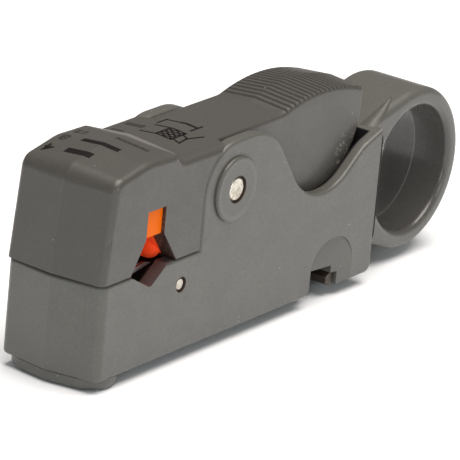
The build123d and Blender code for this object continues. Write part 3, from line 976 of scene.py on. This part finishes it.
class STRIPPER_OT_lever(bpy.types.Operator):
    """Gives the jaw lever its moulded finish"""

    bl_idname = "stripper.lever"
    bl_label = "Jaw lever"

    def execute(self, context):
        c = colours()
        lever = moulded_plastic("lever plastic", c.lever, c.bore, c.speck, lever_details)
        dress("jaw_lever", lever)
        return {"FINISHED"}


class STRIPPER_OT_saddle(bpy.types.Operator):
    """Gives the cable saddle its orange finish"""

    bl_idname = "stripper.saddle"
    bl_label = "Cable saddle"

    def execute(self, context):
        c = colours()
        orange = orange_plastic("orange plastic", c.saddle, c.saddle_deep)
        dress("cable_saddle", orange)
        lip = rounded_bar("saddle_lip", orange, LIP_CENTRE, LIP_RADII, LIP_HALF_LONG, LIP_DOME)
        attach(lip, "lever")
        return {"FINISHED"}


class STRIPPER_OT_pins(bpy.types.Operator):
    """Gives both pins their turned ends"""

    bl_idname = "stripper.pins"
    bl_label = "Pins"

    def execute(self, context):
        metal = turned_metal("bright pin", colours().pin, 0.30, (PIVOT, CROSS_PIN), PIN_STAIN)
        dress("pivot_pin", metal)
        dress("cross_pin", metal)
        return {"FINISHED"}


class STRIPPER_OT_blades(bpy.types.Operator):
    """Gives the three blades their ground finish"""

    bl_idname = "stripper.blades"
    bl_label = "Blades"

    def execute(self, context):
        steel = ground_blade("blade steel", colours().blade)
        for row in (1, 2, 3):
            dress(f"blade_{row}", steel)
        return {"FINISHED"}


class STRIPPER_OT_screws(bpy.types.Operator):
    """Gives the depth screws and their inserts their metal"""

    bl_idname = "stripper.screws"
    bl_label = "Depth screws"

    def execute(self, context):
        c = colours()
        black = drawn_metal("black screw", c.screw, 0.32, (1, 1, 0.2))
        brass = drawn_metal("insert brass", c.brass, 0.28, (1, 1, 0.2))
        for row in (1, 2, 3):
            dress(f"depth_screw_{row}", black)
            dress(f"screw_insert_{row}", brass)
        return {"FINISHED"}


class STRIPPER_OT_springs(bpy.types.Operator):
    """Winds the lever spring and the blade springs from round wire"""

    bl_idname = "stripper.springs"
    bl_label = "Springs"

    def execute(self, context):
        wire = drawn_metal("spring wire", colours().spring, 0.30, (1, 1, 1))
        plan = coil_plan()
        low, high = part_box("lever_spring")
        turns = sizes().lever_coils
        big = wound(plan, "lever_coil", wire, (low, high), 0.00054, turns)
        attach(big, "housing")
        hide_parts("lever_spring")
        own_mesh(big)
        rows = [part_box(f"blade_spring_{row}") for row in (1, 2, 3)]
        pitch = (rows[2][0].y - rows[0][0].y) / 2
        turns = sizes().blade_coils
        small = wound(plan, "blade_coils", wire, rows[0], 0.00014, turns, 3, pitch)
        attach(small, "housing")
        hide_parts("blade_spring_1", "blade_spring_2", "blade_spring_3")
        return {"FINISHED"}


class STRIPPER_OT_key(bpy.types.Operator):
    """Gives the hex key its black oxide"""

    bl_idname = "stripper.key"
    bl_label = "Hex key"

    def execute(self, context):
        dress("hex_key", drawn_metal("black key", colours().key, 0.36, (0.3, 0.3, 1), 0.7))
        return {"FINISHED"}


class STRIPPER_OT_print(bpy.types.Operator):
    """Prints the strip-length scale and the cable drawing on the head and arm"""

    bl_idname = "stripper.print"
    bl_label = "Print"

    def execute(self, context):
        c = colours()
        black = printed_ink("scale ink", c.ink, c.lever, 0.0)
        faint = printed_ink("faint ink", darker(c.lever, 0.45), c.lever, 0.7)
        plan = stroke_plan()
        surface = surface_of("jaw_lever")
        first_cut, cut_pitch, cut_count = 4.5, 0.25, 130
        cuts = [first_cut + cut_pitch * step for step in range(cut_count)]
        tall = sizes().number_height / MM
        width = sizes().line_width / MM

        sharp = [
            strokes(plan, "bar", black, 6.85, 1.4, long=1.5, wide=5.0),
            strokes(plan, "bar", black, 11.1, 0.3, long=1.2, wide=7.2),
            number("4", black, 6.6, 7.05, tall * 1.1),
        ]
        worn = [
            strokes(plan, "bar", faint, 15.2, -2.8, long=0.75, wide=6.4),
            number("8", faint, 10.8, 7.0, tall * 0.95),
            number("12", faint, 14.6, 6.6, tall * 0.8),
            strokes(plan, "bar", faint, 28.0, 5.9, long=1.3, wide=3.6),
            strokes(plan, "bar", faint, 23.9, 6.3, long=0.5, wide=2.4),
        ]
        scale = drape(joined("printed_scale", sharp), surface, cuts)
        pale = drape(joined("printed_scale_worn", worn), surface, cuts)

        # Stripped cable across the arm: jacket, braid, insulation and wire, and its length
        # marks; low and high are the corners of the braid
        low, high = (26.0, -2.6), (30.2, 0.5)
        outline = [
            ((26.0, 3.4), (26.0, -2.6)),
            ((30.2, 3.4), (30.2, -2.6)),
            ((26.0, 0.5), (30.2, 0.5)),
            ((26.0, -2.6), (30.2, -2.6)),
            ((26.6, -2.6), (25.9, -4.3)),
            ((25.9, -4.3), (28.7, -3.9)),
            ((28.7, -3.9), (29.3, -2.6)),
            ((28.3, -3.9), (31.6, -5.0)),
            ((31.4, 3.9), (33.9, 3.9)),
            ((31.9, -2.3), (35.0, -2.3)),
        ]
        drawing = [line(plan, "line", black, start, end, width) for start, end in outline]
        drawing.append(line(plan, "line", black, (33.8, 3.9), (33.8, 0.6), width))
        drawing.append(line(plan, "line", black, (33.8, 0.8), (33.8, -2.0), width * 1.8))
        count = sizes().braid_strands
        reach = high[0] - low[0]
        middle = ((low[0] + high[0]) / 2, (low[1] + high[1]) / 2)
        strand_long, strand_turn = 7.0, 50
        for sign in (-1, 1):
            start = middle[0] - sign * reach
            pitch = (sign * 2 * reach / count, 0)
            turn = -sign * strand_turn
            braid = strokes(
                plan, "braid", black, start, middle[1], strand_long, width, turn, count, pitch
            )
            drawing.append(clipped(braid, low, high))
        cable = drape(joined("cable_drawing", drawing), surface, cuts)
        for piece in (scale, pale, cable):
            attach(piece, "lever")
        return {"FINISHED"}


class STRIPPER_OT_stage(bpy.types.Operator):
    """Sets the floor, the soft light and the camera of the photograph's view"""

    bl_idname = "stripper.stage"
    bl_label = "Stage"

    def execute(self, context):
        scene = context.scene
        mesh = bpy.data.meshes.new("floor")
        half = 3.0
        corners = [(-half, -half, 0), (half, -half, 0), (half, half, 0), (-half, half, 0)]
        mesh.from_pydata(corners, [], [(0, 1, 2, 3)])
        floor = bpy.data.objects.new("floor", mesh)
        scene.collection.objects.link(floor)
        mesh.materials.append(pale_floor("floor paper", colours().floor))

        world = bpy.data.worlds.new("room")
        world.use_nodes = True
        room = world.node_tree.nodes["Background"]
        room.inputs["Color"].default_value = (1.0, 0.965, 0.935, 1.0)
        room.inputs["Strength"].default_value = sizes().room_light
        scene.world = world

        self.lamp("top light", (0.05, -0.22, 1.48), 1.3, sizes().top_light, (1.0, 0.925, 0.875))
        self.lamp("key light", (-0.30, -0.97, 0.38), 0.16, sizes().key_light, (0.93, 0.98, 0.975))
        self.lamp("nose light", (-0.90, -0.45, 0.30), 0.25, sizes().nose_light, (0.95, 0.985, 1.0))

        camera = bpy.data.cameras.new("camera")
        camera.lens = 457.2
        camera.sensor_width = 36.0
        camera.clip_start = 0.05
        camera.clip_end = 20.0
        eye = bpy.data.objects.new("camera", camera)
        scene.collection.objects.link(eye)
        right = Vector((0.5777, -0.8115, 0.0877))
        up = Vector((0.2268, 0.2628, 0.9378))
        back = Vector((-0.7841, -0.5219, 0.3359))
        turned = Matrix((right, up, back)).transposed().to_4x4()
        eye.matrix_world = Matrix.Translation((-0.75105, -0.4972, 0.3337)) @ turned
        scene.camera = eye
        scene.view_settings.view_transform = "Standard"
        return {"FINISHED"}

    def lamp(self, name, spot, size, power, colour):
        """A square soft light that faces the tool."""
        light = bpy.data.lights.new(name, "AREA")
        light.energy = power
        light.size = size
        light.color = colour
        lamp = bpy.data.objects.new(name, light)
        bpy.context.scene.collection.objects.link(lamp)
        lamp.location = spot
        aim = Vector((0, 0, LIT_HEIGHT)) - Vector(spot)
        lamp.rotation_euler = aim.to_track_quat("-Z", "Y").to_euler()


class STRIPPER_PT_panel(bpy.types.Panel):
    """Lists the pieces of the stripper and their settings"""

    bl_idname = "STRIPPER_PT_panel"
    bl_label = "Cable stripper"
    bl_space_type = "VIEW_3D"
    bl_region_type = "UI"
    bl_category = "Stripper"

    def draw(self, context):
        for operator in OPERATORS:
            self.layout.operator(operator.bl_idname)
        for settings in (context.scene.stripper_colours, context.scene.stripper_sizes):
            for name in settings.__annotations__:
                self.layout.prop(settings, name)


OPERATORS = (
    STRIPPER_OT_stage,
    STRIPPER_OT_housing,
    STRIPPER_OT_lever,
    STRIPPER_OT_saddle,
    STRIPPER_OT_pins,
    STRIPPER_OT_blades,
    STRIPPER_OT_screws,
    STRIPPER_OT_springs,
    STRIPPER_OT_key,
    STRIPPER_OT_print,
)
CLASSES = (StripperColours, StripperSizes, *OPERATORS, STRIPPER_PT_panel)


def register():
    for one in CLASSES:
        bpy.utils.register_class(one)
    bpy.types.Scene.stripper_colours = PointerProperty(type=StripperColours)
    bpy.types.Scene.stripper_sizes = PointerProperty(type=StripperSizes)


def unregister():
    del bpy.types.Scene.stripper_sizes
    del bpy.types.Scene.stripper_colours
    for one in reversed(CLASSES):
        bpy.utils.unregister_class(one)


def main():
    register()
    bpy.ops.stripper.stage()
    bpy.ops.stripper.housing()
    bpy.ops.stripper.lever()
    bpy.ops.stripper.saddle()
    bpy.ops.stripper.pins()
    bpy.ops.stripper.blades()
    bpy.ops.stripper.screws()
    bpy.ops.stripper.springs()
    bpy.ops.stripper.key()
    bpy.ops.stripper.print()


if __name__ == "__main__":
    main()
